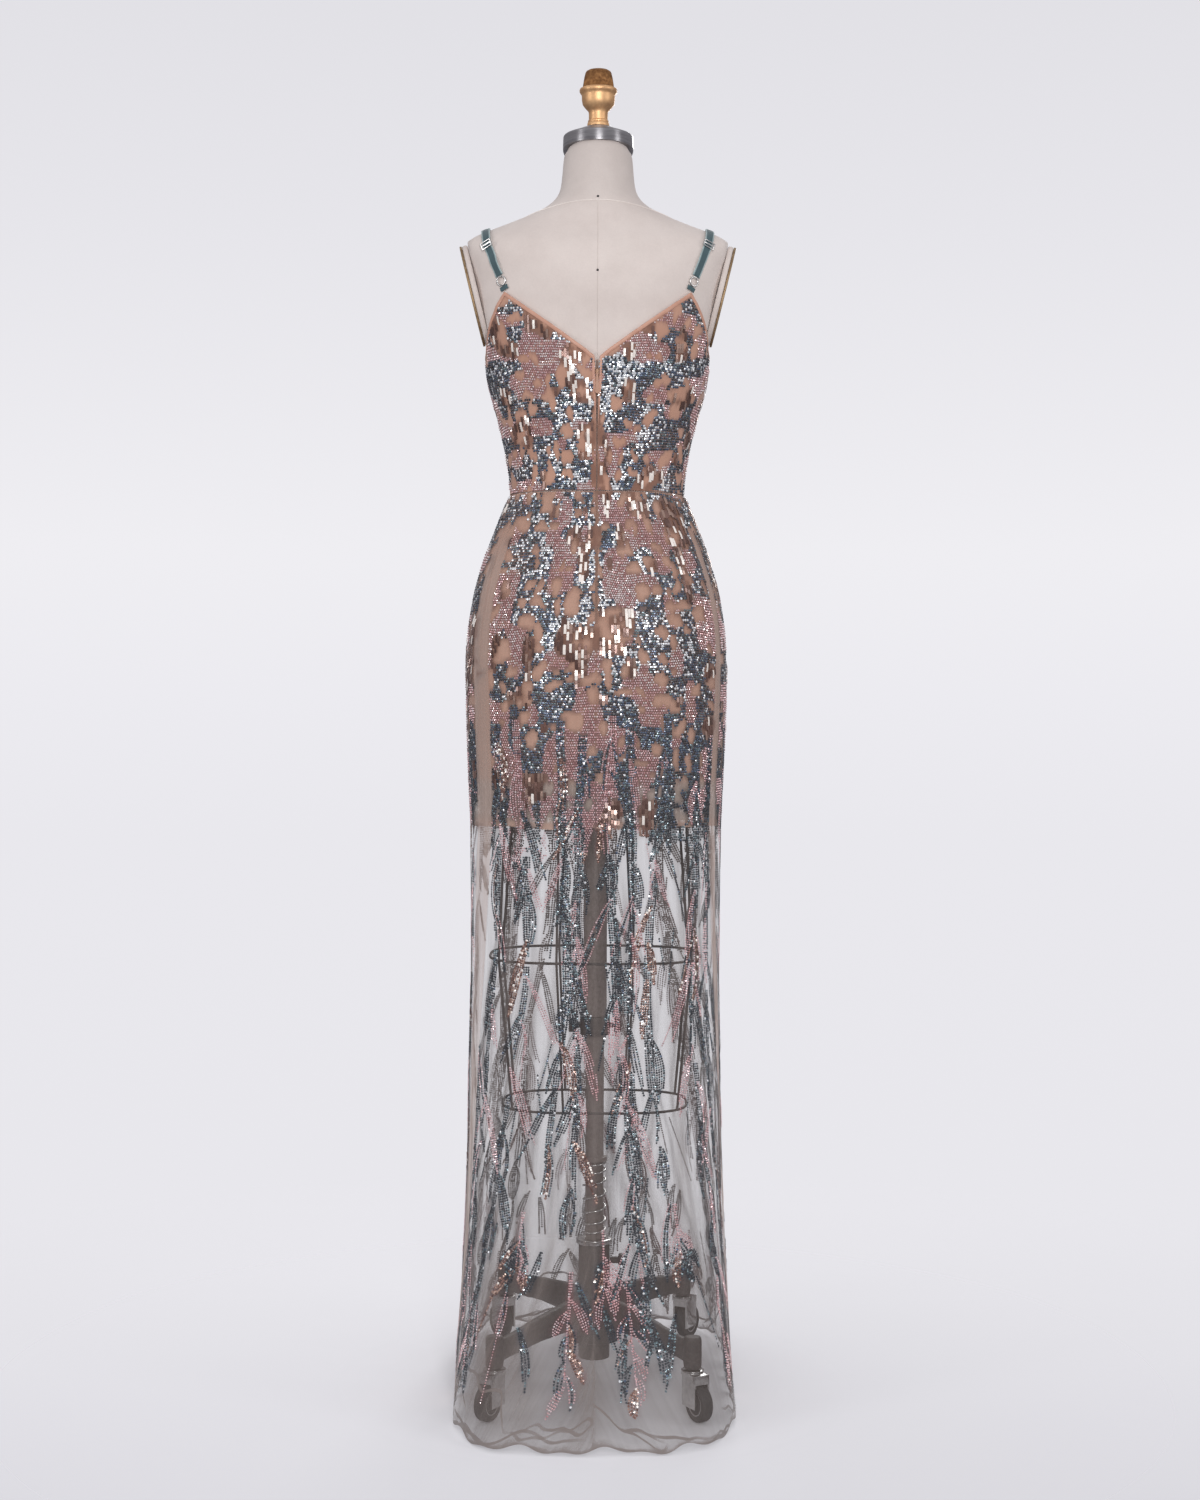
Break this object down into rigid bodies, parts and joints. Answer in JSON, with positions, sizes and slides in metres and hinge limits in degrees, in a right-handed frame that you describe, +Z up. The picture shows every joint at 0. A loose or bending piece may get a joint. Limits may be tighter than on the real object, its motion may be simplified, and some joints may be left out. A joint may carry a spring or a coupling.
{
  "type": "evening gown on a limbless dress form",
  "caption": "Floor-length evening gown with a V back, velvet straps and a small train, on a limbless dress form with a cage, pole and caster base.",
  "frame": {"origin": "on the floor, in the middle of the space that the gown and its form take", "axes": "+Z up; the gown's back faces -Y and its front +Y; +X is the wearer's right side"},
  "size_m": [0.378, 0.6131, 1.8],
  "materials": {
    "embroidered_tulle": "sheer grey tulle worked all over with slate, pink and bronze beads and sequins",
    "nude_lining": "matt nude stretch lining",
    "peach_binding": "narrow satin bias binding",
    "teal_velvet": "velvet ribbon",
    "silver_metal": "plated metal",
    "zip_nylon": "nylon coil and painted slider",
    "form_linen": "natural linen over the form",
    "brass": "aged satin brass",
    "neck_cap_steel": "brushed grey steel",
    "stand_iron": "dark painted iron",
    "caster_tyre": "dark rubber"
  },
  "bodies": {
    "base": {"lower_tube": "stand_iron", "tube_ring": "silver_metal", "buffer_spring": "silver_metal", "clamp_knob": "stand_iron", "cast_base": "stand_iron"},
    "form": {"arm_plate_left": "form_linen", "arm_plate_right": "form_linen", "arm_rim_left": "brass", "arm_rim_right": "brass", "binding_armhole_left": "peach_binding", "binding_armhole_right": "peach_binding", "binding_back_left": "peach_binding", "binding_back_right": "peach_binding", "binding_front": "peach_binding", "bodice_back_left": "embroidered_tulle", "bodice_back_right": "embroidered_tulle", "bodice_front": "embroidered_tulle", "cage_ring_lower": "stand_iron", "cage_ring_upper": "stand_iron", "cage_wire_1": "stand_iron", "cage_wire_2": "stand_iron", "cage_wire_3": "stand_iron", "cage_wire_4": "stand_iron", "cage_wire_5": "stand_iron", "cage_wire_6": "stand_iron", "cage_wire_7": "stand_iron", "cage_wire_8": "stand_iron", "finial": "brass", "lining_back": "nude_lining", "lining_front": "nude_lining", "neck_cap": "neck_cap_steel", "pole_collar": "stand_iron", "pole_lower": "stand_iron", "pole_upper": "stand_iron", "ring_left": "silver_metal", "ring_right": "silver_metal", "skirt_back_left": "embroidered_tulle", "skirt_back_right": "embroidered_tulle", "skirt_front": "embroidered_tulle", "strap_left": "teal_velvet", "strap_loop_left": "teal_velvet", "strap_loop_right": "teal_velvet", "strap_right": "teal_velvet", "strap_slider_left": "silver_metal", "strap_slider_right": "silver_metal", "torso": "form_linen", "zip_coil": "zip_nylon", "zip_slider": "zip_nylon"},
    "zip_tab": {"zip_pull": "zip_nylon"},
    "caster_1": {"caster_fork_1": "silver_metal"},
    "wheel_1": {"caster_wheel_1": "caster_tyre"},
    "caster_2": {"caster_fork_2": "silver_metal"},
    "wheel_2": {"caster_wheel_2": "caster_tyre"},
    "caster_3": {"caster_fork_3": "silver_metal"},
    "wheel_3": {"caster_wheel_3": "caster_tyre"},
    "caster_4": {"caster_fork_4": "silver_metal"},
    "wheel_4": {"caster_wheel_4": "caster_tyre"}
  },
  "joints": [
    {"name": "height_slide", "type": "slide", "parent": "base", "child": "form", "axis": [0, 0, 1], "range_m": [0, 0.12]},
    {"name": "zip_tab_hinge", "type": "hinge", "parent": "form", "child": "zip_tab", "pos_m": [0, -0.08501, 1.367], "axis": [-1, 0, 0], "range_deg": [0, 150]},
    {"name": "caster_1_swivel", "type": "hinge", "parent": "base", "child": "caster_1", "pos_m": [-0.129, -0.1536, 0.0647], "axis": [0, 0, 1], "continuous": true},
    {"name": "wheel_1_spin", "type": "hinge", "parent": "caster_1", "child": "wheel_1", "pos_m": [-0.137, -0.16746, 0.024], "axis": [0.866, -0.5, 0], "continuous": true},
    {"name": "caster_2_swivel", "type": "hinge", "parent": "base", "child": "caster_2", "pos_m": [0.129, -0.1536, 0.0647], "axis": [0, 0, 1], "continuous": true},
    {"name": "wheel_2_spin", "type": "hinge", "parent": "caster_2", "child": "wheel_2", "pos_m": [0.137, -0.16746, 0.024], "axis": [0.866, 0.5, 0], "continuous": true},
    {"name": "caster_3_swivel", "type": "hinge", "parent": "base", "child": "caster_3", "pos_m": [0.129, 0.2144, 0.0647], "axis": [0, 0, 1], "continuous": true},
    {"name": "wheel_3_spin", "type": "hinge", "parent": "caster_3", "child": "wheel_3", "pos_m": [0.137, 0.22826, 0.024], "axis": [-0.866, 0.5, 0], "continuous": true},
    {"name": "caster_4_swivel", "type": "hinge", "parent": "base", "child": "caster_4", "pos_m": [-0.129, 0.2144, 0.0647], "axis": [0, 0, 1], "continuous": true},
    {"name": "wheel_4_spin", "type": "hinge", "parent": "caster_4", "child": "wheel_4", "pos_m": [-0.137, 0.22826, 0.024], "axis": [-0.866, -0.5, 0], "continuous": true}
  ]
}
